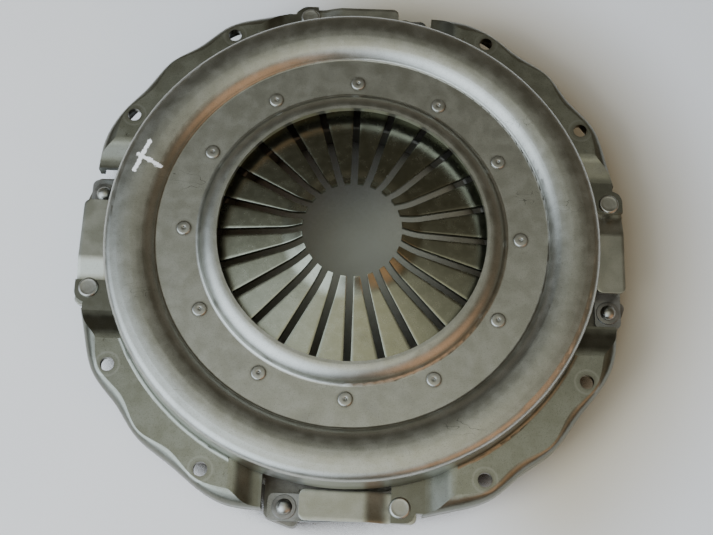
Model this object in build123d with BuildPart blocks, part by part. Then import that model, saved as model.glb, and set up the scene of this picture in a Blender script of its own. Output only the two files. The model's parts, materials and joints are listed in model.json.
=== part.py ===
from build123d import *
import os
from math import cos, radians, sin, tan

# Clutch cover assembly of the push type, in its free state, in millimetres.
# Z is the clutch axis, and Z = 0 is the face of the cover's flange that seats on the flywheel.
# +Z points from the flywheel to the gearbox, so the pressure plate hangs below the flange.
# The assembly repeats four times round the axis. The first strap window lies on +X, with its
# straps along Y: they are riveted to the cover at +Y and to the pressure plate at -Y.

QUARTERS = [0, 90, 180, 270]

# Pressed steel cover
sheet = 5.0
annulus_top = 25.2
lip_edge_r = 106.5
lip_crest_r = 117.5
lip_top = 34.5
lip_foot_r = 122.3
step_foot_r = 156.2
step_crest_r = 160.8
step_crest = 31.0
step_rim_r = 170.0
step_rim = 33.4
crown_r = 180.0
crown_top = 34.2
shoulder_top = 31.6
wall_top_r = 196.4
wall_foot_r = 197.8
foot_plate_r = 208.0
lip_round = 14.0
lip_fillet = 3.0
step_fillet = 2.5
step_round = 14.0
step_rim_round = 40.0
crown_round = 45.0
shoulder_round = 7.5
foot_fillet = 3.5

# Flange outline: angle from a strap window, radius where the flat ends, radius of the skirt's rim
flange_points = [
    (0.0, 214.0, 222.5),
    (14.0, 214.0, 223.5),
    (22.0, 215.5, 226.0),
    (30.0, 223.2, 229.8),
    (37.5, 218.4, 226.3),
    (45.0, 224.2, 228.8),
    (52.5, 218.6, 226.4),
    (60.0, 223.6, 228.4),
    (67.0, 218.5, 229.0),
    (76.0, 214.0, 221.0),
]
skirt_levels = [(5.0, 0.0), (4.0, 0.38), (1.5, 0.72), (-5.0, 0.98), (-14.0, 1.0)]
skirt_wall = 4.0

# Bolting to the flywheel
bolt_circle_r = 216.0
bolt_hole_r = 5.5
bolt_angles = [30, 60, 120, 150, 210, 240, 300, 330]

# Sunk zone of the flange at each strap window, and the window cut in it
pocket_depth = 5.7
pocket_half = 63.0
ramp_run = 24.0
ramp_ease = 11.0
window_plate_side = -61.0
window_cover_side = 37.5
window_sill = 3.0
window_inner = 150.0
tab_edge = 221.3
tab_corner_y = 47.0
tab_corner_mid = (219.1, 52.5)
tab_notch_x = 213.5
tab_notch_near = 56.0
tab_notch_far = 61.5
shelf_edge = 214.0
shelf_end = -70.0
beyond = 260.0

# Locating pips pressed in the flange beside the windows
pip_circle_r = 210.5
pip_from_window = 25.0
pip_r = 1.5
pip_depth = 0.6

# Diaphragm spring, one piece with 24 fingers, and its two fulcrum rings
spring_t = 4.6
spring_outer_r = 182.0
spring_tip_r = 39.3
tip_bend_r = 50.0
cone_deg = 9.5
tip_deg = 36.0
tip_bend_round = 30.0
finger_count = 24
slot_w = 5.6
eye_r = 7.0
fulcrum_r = 142.0
wire_r = 3.0
contact_gap = 0.05

# Shouldered rivets that hang the spring from the cover
rivet_circle_r = 133.6
rivet_count = 12
rivet_shank_r = 4.0
rivet_shoulder_r = 5.0
rivet_head_r = 5.8
rivet_head_t = 1.7
rivet_dimple_r = 1.5
rivet_dimple_depth = 1.0
rivet_chamfer = 0.6
rivet_foot_r = 11.5
rivet_foot_t = 3.2
hole_clearance = 0.05

# Cast-iron pressure plate
plate_bore_r = 115.5
plate_outer_r = 199.0
friction_face = -49.3
plate_back = -21.8
nose_r = 177.0
nose_half = 4.0
nose_root_half = 7.0
nose_gap = 22.0
nose_gap_floor = -12.0
plate_chamfer = 1.5
ear_near = -33.5
ear_far = -60.0
ear_edge_near = 226.0
ear_edge_far = 217.0
ear_root = 180.0
ear_t = 14.2
ear_corner_r = 5.0
balance_hole_r = 4.0
balance_hole_depth = 12.0
balance_angles = [38, 52, 131, 222, 317]

# Drive straps: packs of three spring-steel leaves, each with a backing plate over it
strap_line = 209.9
strap_reach = 44.2
strap_end = 57.2
strap_w = 21.0
strap_corner = 5.0
leaf_t = 1.15
leaf_pitch = 1.2
leaf_names = ["top", "middle", "bottom"]
strap_flat = 28.0
strap_bend = 60.0
guard_t = 3.0
guard_free_end = -32.3
guard_inner = 197.8
guard_outer = 221.3
guard_ramp_top = 19.0
guard_ramp_foot = 33.0
guard_bend = 6.0
strap_rivet_r = 4.5
tab_head_r = 8.2
tab_head_t = 2.2
collar_r = 9.5
collar_t = 1.2
dome_r = 6.3
dome_h = 4.2
dome_mid_r = 4.4
dome_mid_h = 3.0
tail_r = 7.2
tail_t = 3.0

# Levels that follow from the stack under the annulus and at the straps
slope = tan(radians(cone_deg))
slant = cos(radians(cone_deg))
wall_slope = (wall_foot_r - wall_top_r) / (shoulder_top - sheet)
upper_ring_z = annulus_top - sheet - wire_r - contact_gap
spring_top = upper_ring_z - wire_r / slant - contact_gap
spring_under = spring_top - spring_t / slant
lower_ring_z = spring_under - wire_r / slant - contact_gap
rivet_foot_top = lower_ring_z - wire_r - contact_gap
under_at_nose = spring_under - (nose_r - fulcrum_r) * slope
nose_centre = under_at_nose - nose_half / slant - contact_gap
tab_top = sheet - pocket_depth
tab_under = tab_top - sheet
pack_t = leaf_pitch * len(leaf_names)
strap_top_at_cover = tab_under - guard_t
strap_top_at_plate = plate_back + pack_t
high = 60.0


def polar(radius, angle):
    """Point of the XY plane at a radius and an angle in degrees."""
    return (radius * cos(radians(angle)), radius * sin(radians(angle)))


def flange_block(levels, inset):
    """Solid with the flange's lobed outline at each (height, share of the way to the skirt's rim)."""
    with BuildPart(mode=Mode.PRIVATE) as block:
        for level, share in levels:
            points = []
            for quarter in QUARTERS:
                for angle, flat_r, rim_r in flange_points:
                    radius = flat_r + share * (rim_r - flat_r) - inset
                    points.append(polar(radius, quarter + angle))
            with BuildSketch(Plane.XY.offset(level)):
                with BuildLine():
                    Spline(*points, periodic=True)
                make_face()
        loft()
    return block.part


def window_prism(points):
    """Outline of (y, z) points, run outwards over the first strap window."""
    with BuildPart(mode=Mode.PRIVATE) as prism:
        with BuildSketch(Plane.YZ.offset(window_inner)):
            Polygon(*points, align=None)
        extrude(amount=beyond - window_inner)
    return prism.part


def sunk_prism(floor, shoulder):
    """Sunk zone of the first strap window: all above a floor that eases up to the flange's level."""
    ramp_end = pocket_half + ramp_run
    with BuildPart(mode=Mode.PRIVATE) as prism:
        with BuildSketch(Plane.YZ.offset(window_inner)):
            with BuildLine():
                rise = Bezier(
                    (pocket_half, floor),
                    (pocket_half + ramp_ease, floor),
                    (ramp_end - ramp_ease, shoulder),
                    (ramp_end, shoulder),
                )
                mirror(rise, about=Plane.YZ)
                Line((-pocket_half, floor), (pocket_half, floor))
                Polyline(
                    (ramp_end, shoulder),
                    (ramp_end, high),
                    (-ramp_end, high),
                    (-ramp_end, shoulder),
                )
            make_face()
        extrude(amount=beyond - window_inner)
    return prism.part


def bent_strip(points, bends, thickness, inner, outer):
    """Strip of sheet that follows (y, z) points of its upper face and is as wide as inner to outer."""
    with BuildPart(mode=Mode.PRIVATE) as strip:
        with BuildSketch(Plane.YZ.offset(inner)):
            with BuildLine():
                FilletPolyline(*points, radius=bends)
                offset(amount=thickness, side=Side.RIGHT)
            make_face()
        extrude(amount=outer - inner)
        fillet(strip.edges().filter_by(Axis.Z), radius=strap_corner)
    return strip.part


def turned(points):
    """Solid of revolution about Z, from the (radius, z) points of half its section."""
    with BuildPart(mode=Mode.PRIVATE) as body:
        with BuildSketch(Plane.XZ):
            Polygon(*points, align=None)
        revolve(axis=Axis.Z)
    return body.part


def strap_rivet_spots(along):
    """Where the strap rivets stand: along is 1 for the ends on the cover, -1 for the plate's."""
    spots = []
    for quarter in QUARTERS:
        turn = Location((0, 0, 0), (0, 0, quarter))
        spots.append(turn * Location((strap_line, along * strap_reach, 0)))
    return spots


# ---------------------------------------------------------------- cover
kept_zone = sunk_prism(tab_under, 0.0)
sunk_zone = sunk_prism(tab_top, sheet)

with BuildPart() as flange_hollow:
    add(flange_block([(level - sheet, share) for level, share in skirt_levels], skirt_wall))
    for quarter in QUARTERS:
        add(kept_zone, rotation=(0, 0, quarter), mode=Mode.SUBTRACT)

with BuildPart() as flange:
    add(flange_block(skirt_levels, 0.0))
    Cylinder(wall_foot_r - sheet / 2, 2 * high, mode=Mode.SUBTRACT)
    add(flange_hollow.part, mode=Mode.SUBTRACT)
    for quarter in QUARTERS:
        add(sunk_zone, rotation=(0, 0, quarter), mode=Mode.SUBTRACT)

with BuildPart() as below_wall:
    with Locations((0, 0, -high / 2)):
        Cylinder(beyond, high)
    for quarter in QUARTERS:
        add(kept_zone, rotation=(0, 0, quarter), mode=Mode.SUBTRACT)

with BuildPart() as dome:
    with BuildSketch(Plane.XZ):
        with BuildLine():
            FilletPolyline(
                (lip_edge_r, lip_top),
                (lip_crest_r, lip_top),
                (lip_foot_r, annulus_top),
                (step_foot_r, annulus_top),
                (step_crest_r, step_crest),
                (step_rim_r, step_rim),
                (crown_r, crown_top),
                (wall_top_r, shoulder_top),
                (wall_foot_r + wall_slope * (sheet + high / 4), -high / 4),
                radius=[
                    lip_round,
                    lip_fillet,
                    step_fillet,
                    step_round,
                    step_rim_round,
                    crown_round,
                    shoulder_round,
                ],
            )
            offset(amount=sheet, side=Side.RIGHT)
        make_face()
    revolve(axis=Axis.Z)
    add(below_wall.part, mode=Mode.SUBTRACT)

with BuildPart() as wall_fillet:
    with BuildSketch(Plane.XZ):
        with BuildLine():
            fillet_arc = RadiusArc(
                (wall_foot_r + foot_fillet, sheet),
                (wall_foot_r - wall_slope * foot_fillet, sheet + foot_fillet),
                foot_fillet,
            )
            Polyline(
                fillet_arc @ 1,
                (wall_foot_r - sheet / 2, sheet + foot_fillet),
                (wall_foot_r - sheet / 2, sheet / 2),
                (wall_foot_r + foot_fillet, sheet / 2),
                fillet_arc @ 0,
            )
        make_face()
    revolve(axis=Axis.Z)
    for quarter in QUARTERS:
        add(sunk_zone, rotation=(0, 0, quarter), mode=Mode.SUBTRACT)

with BuildPart() as strap_tab:
    with BuildSketch(Plane.XY.offset(tab_under)):
        with BuildLine():
            tab_corner = ThreePointArc(
                (tab_edge, tab_corner_y),
                tab_corner_mid,
                (tab_notch_x, tab_notch_near),
            )
            Polyline(
                tab_corner @ 1,
                (foot_plate_r, tab_notch_near),
                (foot_plate_r, window_cover_side),
                (tab_edge, window_cover_side),
                tab_corner @ 0,
            )
        make_face()
    extrude(amount=sheet)

with BuildPart() as window_cut:
    window_outline = [
        (window_plate_side, -high),
        (window_cover_side, -high),
        (window_cover_side, window_sill),
        (window_plate_side, window_sill),
    ]
    add(window_prism(window_outline))
    under_tab_outline = [
        (window_cover_side, -high),
        (tab_notch_far, -high),
        (tab_notch_far, tab_under),
        (window_cover_side, tab_under),
    ]
    add(window_prism(under_tab_outline))
    with BuildSketch(Plane.XY.offset(-high)):
        with BuildLine():
            trim_corner = ThreePointArc(
                (tab_edge, tab_corner_y),
                tab_corner_mid,
                (tab_notch_x, tab_notch_near),
            )
            Polyline(
                trim_corner @ 1,
                (tab_notch_x, tab_notch_far),
                (beyond, tab_notch_far),
                (beyond, window_cover_side),
                (tab_edge, window_cover_side),
                trim_corner @ 0,
            )
        make_face()
        Polygon(
            (shelf_edge, shelf_end),
            (beyond, shelf_end),
            (beyond, window_plate_side),
            (shelf_edge, window_plate_side),
            align=None,
        )
    extrude(amount=2 * high)

with BuildPart() as cover:
    add(flange.part)
    add(dome.part)
    add(wall_fillet.part)
    for quarter in QUARTERS:
        add(window_cut.part, rotation=(0, 0, quarter), mode=Mode.SUBTRACT)
    for quarter in QUARTERS:
        add(strap_tab.part, rotation=(0, 0, quarter))
    for angle in bolt_angles:
        with Locations(polar(bolt_circle_r, angle)):
            Cylinder(bolt_hole_r, 2 * high, mode=Mode.SUBTRACT)
    with PolarLocations(rivet_circle_r, rivet_count):
        Cylinder(rivet_shank_r + hole_clearance, 2 * high, mode=Mode.SUBTRACT)
    with Locations(*strap_rivet_spots(1)):
        Cylinder(strap_rivet_r + hole_clearance, 2 * high, mode=Mode.SUBTRACT)
    for quarter in QUARTERS:
        for angle in [quarter - pip_from_window, quarter + pip_from_window]:
            with Locations(polar(pip_circle_r, angle)):
                with Locations((0, 0, sheet)):
                    Cylinder(pip_r, 2 * pip_depth, mode=Mode.SUBTRACT)
cover.part.label = "cover"

# ---------------------------------------------------------------- diaphragm spring and its rings
tip_bend_z = spring_top + (fulcrum_r - tip_bend_r) * slope
tip_z = tip_bend_z + (tip_bend_r - spring_tip_r) * tan(radians(tip_deg))
spring_edge_z = spring_top - (spring_outer_r - fulcrum_r) * slope

with BuildPart() as diaphragm_spring:
    with BuildSketch(Plane.XZ):
        with BuildLine():
            FilletPolyline(
                (spring_tip_r, tip_z),
                (tip_bend_r, tip_bend_z),
                (spring_outer_r, spring_edge_z),
                radius=tip_bend_round,
            )
            offset(amount=spring_t, side=Side.RIGHT)
        make_face()
    revolve(axis=Axis.Z)
    with BuildSketch(Plane.XY.offset(-high)):
        with PolarLocations(rivet_circle_r, finger_count):
            Circle(eye_r)
            Rectangle(rivet_circle_r, slot_w, align=(Align.MAX, Align.CENTER))
    extrude(amount=3 * high, mode=Mode.SUBTRACT)
diaphragm_spring.part.label = "diaphragm_spring"

with BuildPart() as upper_fulcrum_ring:
    with Locations((0, 0, upper_ring_z)):
        Torus(fulcrum_r, wire_r)
upper_fulcrum_ring.part.label = "upper_fulcrum_ring"

with BuildPart() as lower_fulcrum_ring:
    with Locations((0, 0, lower_ring_z)):
        Torus(fulcrum_r, wire_r)
lower_fulcrum_ring.part.label = "lower_fulcrum_ring"

annulus_under = annulus_top - sheet
rivet_head_top = annulus_top + rivet_head_t

with BuildPart() as fulcrum_rivets:
    fulcrum_rivet = turned(
        [
            (0, rivet_head_top - rivet_dimple_depth),
            (rivet_dimple_r, rivet_head_top),
            (rivet_head_r - rivet_chamfer, rivet_head_top),
            (rivet_head_r, rivet_head_top - rivet_chamfer),
            (rivet_head_r, annulus_top),
            (rivet_shank_r, annulus_top),
            (rivet_shank_r, annulus_under),
            (rivet_shoulder_r, annulus_under),
            (rivet_shoulder_r, rivet_foot_top),
            (rivet_foot_r, rivet_foot_top),
            (rivet_foot_r, rivet_foot_top - rivet_foot_t),
            (0, rivet_foot_top - rivet_foot_t),
        ]
    )
    with PolarLocations(rivet_circle_r, rivet_count):
        add(fulcrum_rivet)
fulcrum_rivets.part.label = "fulcrum_rivets"

# ---------------------------------------------------------------- pressure plate
with BuildPart() as pressure_plate:
    with BuildSketch(Plane.XZ):
        Polygon(
            (plate_bore_r + plate_chamfer, friction_face),
            (plate_outer_r - plate_chamfer, friction_face),
            (plate_outer_r, friction_face + plate_chamfer),
            (plate_outer_r, plate_back - plate_chamfer),
            (plate_outer_r - plate_chamfer, plate_back),
            (nose_r + nose_root_half, plate_back),
            (nose_r + nose_half, nose_centre),
            (nose_r - nose_half, nose_centre),
            (nose_r - nose_root_half, plate_back),
            (plate_bore_r + plate_chamfer, plate_back),
            (plate_bore_r, plate_back - plate_chamfer),
            (plate_bore_r, friction_face + plate_chamfer),
            align=None,
        )
        with Locations((nose_r, nose_centre)):
            Circle(nose_half)
    revolve(axis=Axis.Z)
    with BuildSketch(Plane.XY.offset(nose_gap_floor)):
        with PolarLocations(nose_r, rivet_count):
            Rectangle(4 * nose_half, nose_gap)
    extrude(amount=high, mode=Mode.SUBTRACT)
    with BuildSketch(Plane.XY.offset(plate_back)):
        with BuildSketch(mode=Mode.PRIVATE) as ear:
            Polygon(
                (ear_root, ear_near),
                (ear_edge_near, ear_near),
                (ear_edge_far, ear_far),
                (ear_root, ear_far),
                align=None,
            )
            fillet(ear.vertices().sort_by(Axis.X)[-2:], radius=ear_corner_r)
        for quarter in QUARTERS:
            add(ear.sketch, rotation=quarter)
    extrude(amount=-ear_t)
    with Locations(*strap_rivet_spots(-1)):
        Cylinder(strap_rivet_r + hole_clearance, 2 * high, mode=Mode.SUBTRACT)
    for angle in balance_angles:
        rim = Location((0, 0, (friction_face + plate_back) / 2), (0, 0, angle))
        with Locations(rim * Location((plate_outer_r, 0, 0), (0, 90, 0))):
            Cylinder(balance_hole_r, 2 * balance_hole_depth, mode=Mode.SUBTRACT)
pressure_plate.part.label = "pressure_plate"

# ---------------------------------------------------------------- drive straps
plate_ends = strap_top_at_plate
cover_ends = strap_top_at_cover
strap_inner = strap_line - strap_w / 2
strap_outer = strap_line + strap_w / 2
leaves = []
for number, quarter in enumerate(QUARTERS, start=1):
    for order, name in enumerate(leaf_names):
        drop = order * leaf_pitch
        leaf_points = [
            (-strap_end, plate_ends - drop),
            (-strap_flat, plate_ends - drop),
            (strap_flat, cover_ends - drop),
            (strap_end, cover_ends - drop),
        ]
        with BuildPart() as leaf:
            strip = bent_strip(leaf_points, strap_bend, leaf_t, strap_inner, strap_outer)
            add(strip, rotation=(0, 0, quarter))
            with Locations(*strap_rivet_spots(1), *strap_rivet_spots(-1)):
                Cylinder(strap_rivet_r + hole_clearance, 2 * high, mode=Mode.SUBTRACT)
        leaf.part.label = f"strap_{number}_{name}_leaf"
        leaves.append(leaf.part)

guards = []
for number, quarter in enumerate(QUARTERS, start=1):
    guard_points = [
        (guard_free_end, tab_top),
        (guard_ramp_top, tab_top),
        (guard_ramp_foot, tab_under),
        (strap_end, tab_under),
    ]
    with BuildPart() as guard:
        strip = bent_strip(guard_points, guard_bend, guard_t, guard_inner, guard_outer)
        add(strip, rotation=(0, 0, quarter))
        with Locations(*strap_rivet_spots(1)):
            Cylinder(strap_rivet_r + hole_clearance, 2 * high, mode=Mode.SUBTRACT)
    guard.part.label = f"strap_guard_{number}"
    guards.append(guard.part)

# ---------------------------------------------------------------- strap rivets
pack_under_cover = cover_ends - pack_t
collar_top = plate_ends + collar_t
ear_under = plate_back - ear_t

with BuildPart() as cover_strap_rivets:
    tab_rivet = turned(
        [
            (0, tab_top + tab_head_t),
            (tab_head_r - rivet_chamfer, tab_top + tab_head_t),
            (tab_head_r, tab_top + tab_head_t - rivet_chamfer),
            (tab_head_r, tab_top),
            (strap_rivet_r, tab_top),
            (strap_rivet_r, pack_under_cover),
            (tail_r, pack_under_cover),
            (tail_r, pack_under_cover - tail_t),
            (0, pack_under_cover - tail_t),
        ]
    )
    with Locations(*strap_rivet_spots(1)):
        add(tab_rivet)
cover_strap_rivets.part.label = "cover_strap_rivets"

with BuildPart() as plate_strap_rivets:
    with BuildPart(mode=Mode.PRIVATE) as ear_rivet:
        with BuildSketch(Plane.XZ):
            with BuildLine():
                dome_arc = ThreePointArc(
                    (0, collar_top + dome_h),
                    (dome_mid_r, collar_top + dome_mid_h),
                    (dome_r, collar_top),
                )
                Polyline(
                    dome_arc @ 1,
                    (strap_rivet_r, collar_top),
                    (strap_rivet_r, ear_under),
                    (tail_r, ear_under),
                    (tail_r, ear_under - tail_t),
                    (0, ear_under - tail_t),
                    dome_arc @ 0,
                )
            make_face()
        revolve(axis=Axis.Z)
    with Locations(*strap_rivet_spots(-1)):
        add(ear_rivet.part)
plate_strap_rivets.part.label = "plate_strap_rivets"

with BuildPart() as strap_collars:
    with Locations(*strap_rivet_spots(-1)):
        with Locations((0, 0, plate_ends + collar_t / 2)):
            Cylinder(collar_r, collar_t)
            Cylinder(strap_rivet_r + hole_clearance, 2 * collar_t, mode=Mode.SUBTRACT)
strap_collars.part.label = "strap_collars"

# ---------------------------------------------------------------- files, one per piece
os.makedirs("parts", exist_ok=True)
export_step(cover.part, "parts/cover.step")
export_step(diaphragm_spring.part, "parts/diaphragm_spring.step")
export_step(upper_fulcrum_ring.part, "parts/upper_fulcrum_ring.step")
export_step(lower_fulcrum_ring.part, "parts/lower_fulcrum_ring.step")
export_step(fulcrum_rivets.part, "parts/fulcrum_rivets.step")
export_step(pressure_plate.part, "parts/pressure_plate.step")
export_step(cover_strap_rivets.part, "parts/cover_strap_rivets.step")
export_step(plate_strap_rivets.part, "parts/plate_strap_rivets.step")
export_step(strap_collars.part, "parts/strap_collars.step")
for piece in leaves + guards:
    export_step(piece, f"parts/{piece.label}.step")
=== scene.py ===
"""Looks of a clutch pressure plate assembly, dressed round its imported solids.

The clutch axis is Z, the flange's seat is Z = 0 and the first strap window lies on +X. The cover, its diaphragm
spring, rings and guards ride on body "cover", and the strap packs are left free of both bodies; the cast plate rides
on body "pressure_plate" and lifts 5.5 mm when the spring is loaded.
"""

import json
import logging
import math
from dataclasses import dataclass
from enum import Enum
from typing import Sequence

import bmesh
import bpy
from mathutils import Matrix, Vector

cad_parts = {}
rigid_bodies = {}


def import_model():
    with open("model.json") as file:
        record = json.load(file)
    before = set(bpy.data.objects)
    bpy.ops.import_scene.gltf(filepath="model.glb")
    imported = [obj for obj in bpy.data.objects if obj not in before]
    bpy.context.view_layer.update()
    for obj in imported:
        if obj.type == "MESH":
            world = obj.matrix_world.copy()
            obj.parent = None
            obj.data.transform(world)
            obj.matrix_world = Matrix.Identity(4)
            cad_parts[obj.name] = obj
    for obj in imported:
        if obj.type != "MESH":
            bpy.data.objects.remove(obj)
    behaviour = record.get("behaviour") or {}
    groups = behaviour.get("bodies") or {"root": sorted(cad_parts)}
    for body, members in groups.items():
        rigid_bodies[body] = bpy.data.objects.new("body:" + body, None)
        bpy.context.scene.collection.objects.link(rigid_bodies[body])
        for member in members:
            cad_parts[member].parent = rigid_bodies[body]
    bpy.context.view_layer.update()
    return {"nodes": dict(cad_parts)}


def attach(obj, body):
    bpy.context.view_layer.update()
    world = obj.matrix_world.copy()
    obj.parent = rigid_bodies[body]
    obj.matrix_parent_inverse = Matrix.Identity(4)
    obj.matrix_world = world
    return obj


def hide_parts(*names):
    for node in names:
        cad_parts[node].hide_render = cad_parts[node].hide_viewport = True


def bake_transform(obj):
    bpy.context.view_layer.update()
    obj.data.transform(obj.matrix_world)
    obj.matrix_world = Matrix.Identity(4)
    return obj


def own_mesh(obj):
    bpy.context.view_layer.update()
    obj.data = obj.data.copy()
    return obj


Colour = tuple[float, float, float]
Point2 = tuple[float, float]
Socket = bpy.types.NodeSocket
Feed = Socket | float | Sequence[float]

MM = 0.001
QUARTERS = (0.0, 90.0, 180.0, 270.0)
log = logging.getLogger("clutch")


class Body(Enum):
    """The two bodies of the assembly."""

    COVER = "cover"
    PLATE = "pressure_plate"


class Slot(Enum):
    """Names for material slots; nothing in this script uses them."""

    SPRING = "spring_steel"
    RING = "ring_steel"
    RIVET = "rivet_steel"
    GUARD = "guard_steel"
    LEAF = "leaf_steel"


# ------------------------------------------------------------------------------ node helpers
class Web:
    """Adds nodes to one tree and links them."""

    def __init__(self, tree: bpy.types.NodeTree) -> None:
        """Starts on an emptied tree.

        Args:
            tree: the node tree to fill.
        """
        self.tree = tree
        tree.nodes.clear()

    def node(self, kind: str, **settings: object) -> bpy.types.Node:
        """Adds a node.

        Args:
            kind: the node's type name.
            settings: attributes to set on it.

        Returns:
            The new node.
        """
        made = self.tree.nodes.new(kind)
        for key, value in settings.items():
            setattr(made, key, value)
        return made

    def feed(self, target: Socket, source: Feed) -> None:
        """Links a socket to a target, or sets a constant on it.

        Args:
            target: the input socket.
            source: an output socket, or a value.
        """
        if isinstance(source, bpy.types.NodeSocket):
            self.tree.links.new(source, target)
        else:
            target.default_value = source

    def math(self, operation: str, *values: Feed, clamp: bool = False) -> Socket:
        """One Math node.

        Args:
            operation: its operation.
            values: its inputs in order.
            clamp: whether the result is kept from 0 to 1.

        Returns:
            Its result.
        """
        made = self.node("ShaderNodeMath", operation=operation, use_clamp=clamp)
        for target, value in zip(made.inputs, values):
            self.feed(target, value)
        return made.outputs[0]

    def vector(self, operation: str, *values: Feed) -> bpy.types.Node:
        """One Vector Math node, with its inputs in order."""
        made = self.node("ShaderNodeVectorMath", operation=operation)
        for target, value in zip(made.inputs, values):
            self.feed(target, value)
        return made

    def noise(self, where: Feed, scale: float, detail: float = 4.0, rough: float = 0.55) -> Socket:
        """A noise texture's value.

        Args:
            where: its coordinates.
            scale: features per metre.
            detail: octaves.
            rough: share of the finer octaves.

        Returns:
            The factor, near 0.5 on average.
        """
        made = self.node("ShaderNodeTexNoise")
        self.feed(made.inputs["Vector"], where)
        made.inputs["Scale"].default_value = scale
        made.inputs["Detail"].default_value = detail
        made.inputs["Roughness"].default_value = rough
        return made.outputs["Fac"]

    def band(self, value: Feed, low: float, high: float, start: float = 0.0, end: float = 1.0) -> Socket:
        """Smooth step of a value from low to high.

        Args:
            value: what is measured.
            low: where the result is start.
            high: where the result is end.
            start: result at and below low.
            end: result at and above high.

        Returns:
            The mapped value.
        """
        made = self.node("ShaderNodeMapRange", interpolation_type="SMOOTHSTEP")
        for target, number in zip(made.inputs, (value, low, high, start, end)):
            self.feed(target, number)
        return made.outputs[0]

    def mix(self, share: Feed, first: Feed, second: Feed) -> Socket:
        """A colour mix.

        Args:
            share: how much of the second colour.
            first: colour at share 0.
            second: colour at share 1.

        Returns:
            The mixed colour.
        """
        made = self.node("ShaderNodeMix", data_type="RGBA")
        colours = [socket for socket in made.inputs if socket.type == "RGBA"]
        self.feed(made.inputs[0], share)
        for target, colour in zip(colours, (first, second)):
            self.feed(target, (*colour, 1.0) if isinstance(colour, tuple) else colour)
        return next(socket for socket in made.outputs if socket.type == "RGBA")

    def stretched(self, where: Feed, scale: Sequence[float], turn: Sequence[float]) -> Socket:
        """Coordinates turned and stretched by a Mapping node."""
        made = self.node("ShaderNodeMapping")
        self.feed(made.inputs["Vector"], where)
        made.inputs["Scale"].default_value = scale
        made.inputs["Rotation"].default_value = turn
        return made.outputs[0]


# ------------------------------------------------------------------------------ finishes
@dataclass
class Coat:
    """What a finish has built up so far: sockets of colour, roughness, bare metal share and height."""

    colour: Socket
    roughness: Socket
    bare: Feed
    height: Socket


@dataclass(frozen=True)
class Squiggle:
    """A patch of thin dark scribbles in the oil film, at an XY place in metres."""

    x: float
    y: float
    reach: float
    turn: float
    stretch: float = 2.2


@dataclass(frozen=True)
class SteelFinish:
    """Bare steel or iron: mottled colour, oil stains, speckle, fine scratches and a fine grain."""

    name: str
    base: Colour
    worn: Colour
    stain: Colour
    roughness: float
    roughness_spread: float = 0.12
    metallic: float = 1.0
    mottle: float = 60.0
    stain_amount: float = 0.5
    scratch: float = 0.35
    speckle: float = 0.35
    grain: float = 900.0
    grain_bump: float = 0.06
    lump_bump: float = 0.0
    lump: float = 260.0

    def build(self) -> bpy.types.Material:
        """Makes the material.

        Returns:
            A node material on Object coordinates.
        """
        material = bpy.data.materials.new(self.name)
        material.use_nodes = True
        web = Web(material.node_tree)
        shader = web.node("ShaderNodeBsdfPrincipled")
        output = web.node("ShaderNodeOutputMaterial")
        web.tree.links.new(shader.outputs[0], output.inputs[0])
        where = web.node("ShaderNodeTexCoord").outputs["Object"]

        mottled = web.noise(where, self.mottle, 5.0, 0.6)
        colour = web.mix(web.band(mottled, 0.35, 0.68), self.base, self.worn)
        stained = web.noise(where, self.mottle * 0.31, 6.0, 0.62)
        stain_share = web.math("MULTIPLY", web.band(stained, 0.52, 0.72), self.stain_amount)
        colour = web.mix(stain_share, colour, self.stain)
        fine = web.band(web.noise(where, 1500.0, 2.0), 0.52, 0.72, 0.0, self.speckle)
        colour = web.mix(fine, colour, self.stain)
        scratches = self.scratches(web, where)
        colour = web.mix(web.math("MULTIPLY", scratches, 0.6), colour, self.stain)
        roughness = web.band(mottled, 0.3, 0.7, self.roughness - self.roughness_spread,
                             self.roughness + self.roughness_spread)
        roughness = web.math("ADD", roughness, web.math("MULTIPLY", stain_share, 0.15))
        height = web.math("MULTIPLY", web.noise(where, self.grain, 3.0, 0.6), self.grain_bump)
        height = web.math("SUBTRACT", height, web.math("MULTIPLY", scratches, 0.05))
        if self.lump_bump:
            lumps = web.noise(where, self.lump, 3.0, 0.5)
            height = web.math("ADD", height, web.math("MULTIPLY", lumps, self.lump_bump))
        coat = Coat(colour, roughness, self.metallic, height)
        self.features(web, where, coat)

        bump = web.node("ShaderNodeBump")
        bump.inputs["Strength"].default_value = 0.5
        bump.inputs["Distance"].default_value = 0.001
        web.feed(bump.inputs["Height"], coat.height)
        web.feed(shader.inputs["Base Color"], coat.colour)
        web.feed(shader.inputs["Roughness"], coat.roughness)
        web.feed(shader.inputs["Metallic"], coat.bare)
        shader.inputs["Specular IOR Level"].default_value = 0.2
        web.tree.links.new(bump.outputs[0], shader.inputs["Normal"])
        return material

    def scratches(self, web: Web, where: Feed) -> Socket:
        """Thin wandering scratch lines.

        Args:
            web: the material's nodes.
            where: Object coordinates.

        Returns:
            Their share, from 0 to 1.
        """
        total = None
        for turn, stretch in ((0.4, 9.0), (2.3, 13.0)):
            lay = web.stretched(where, (stretch, 150.0, 60.0), (0.0, 0.0, turn))
            line = web.math("ABSOLUTE", web.math("SUBTRACT", web.noise(lay, 1.0, 2.0, 0.4), 0.5))
            thin = web.band(line, 0.0, 0.006, 1.0, 0.0)
            patch = web.band(web.noise(where, 14.0 + stretch, 2.0), 0.55, 0.7)
            share = web.math("MULTIPLY", web.math("MULTIPLY", thin, patch), self.scratch)
            total = share if total is None else web.math("MAXIMUM", total, share)
        return total

    def features(self, web: Web, where: Feed, coat: Coat) -> None:
        """Adds marks that only one kind of piece has; the plain finish has none."""


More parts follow.
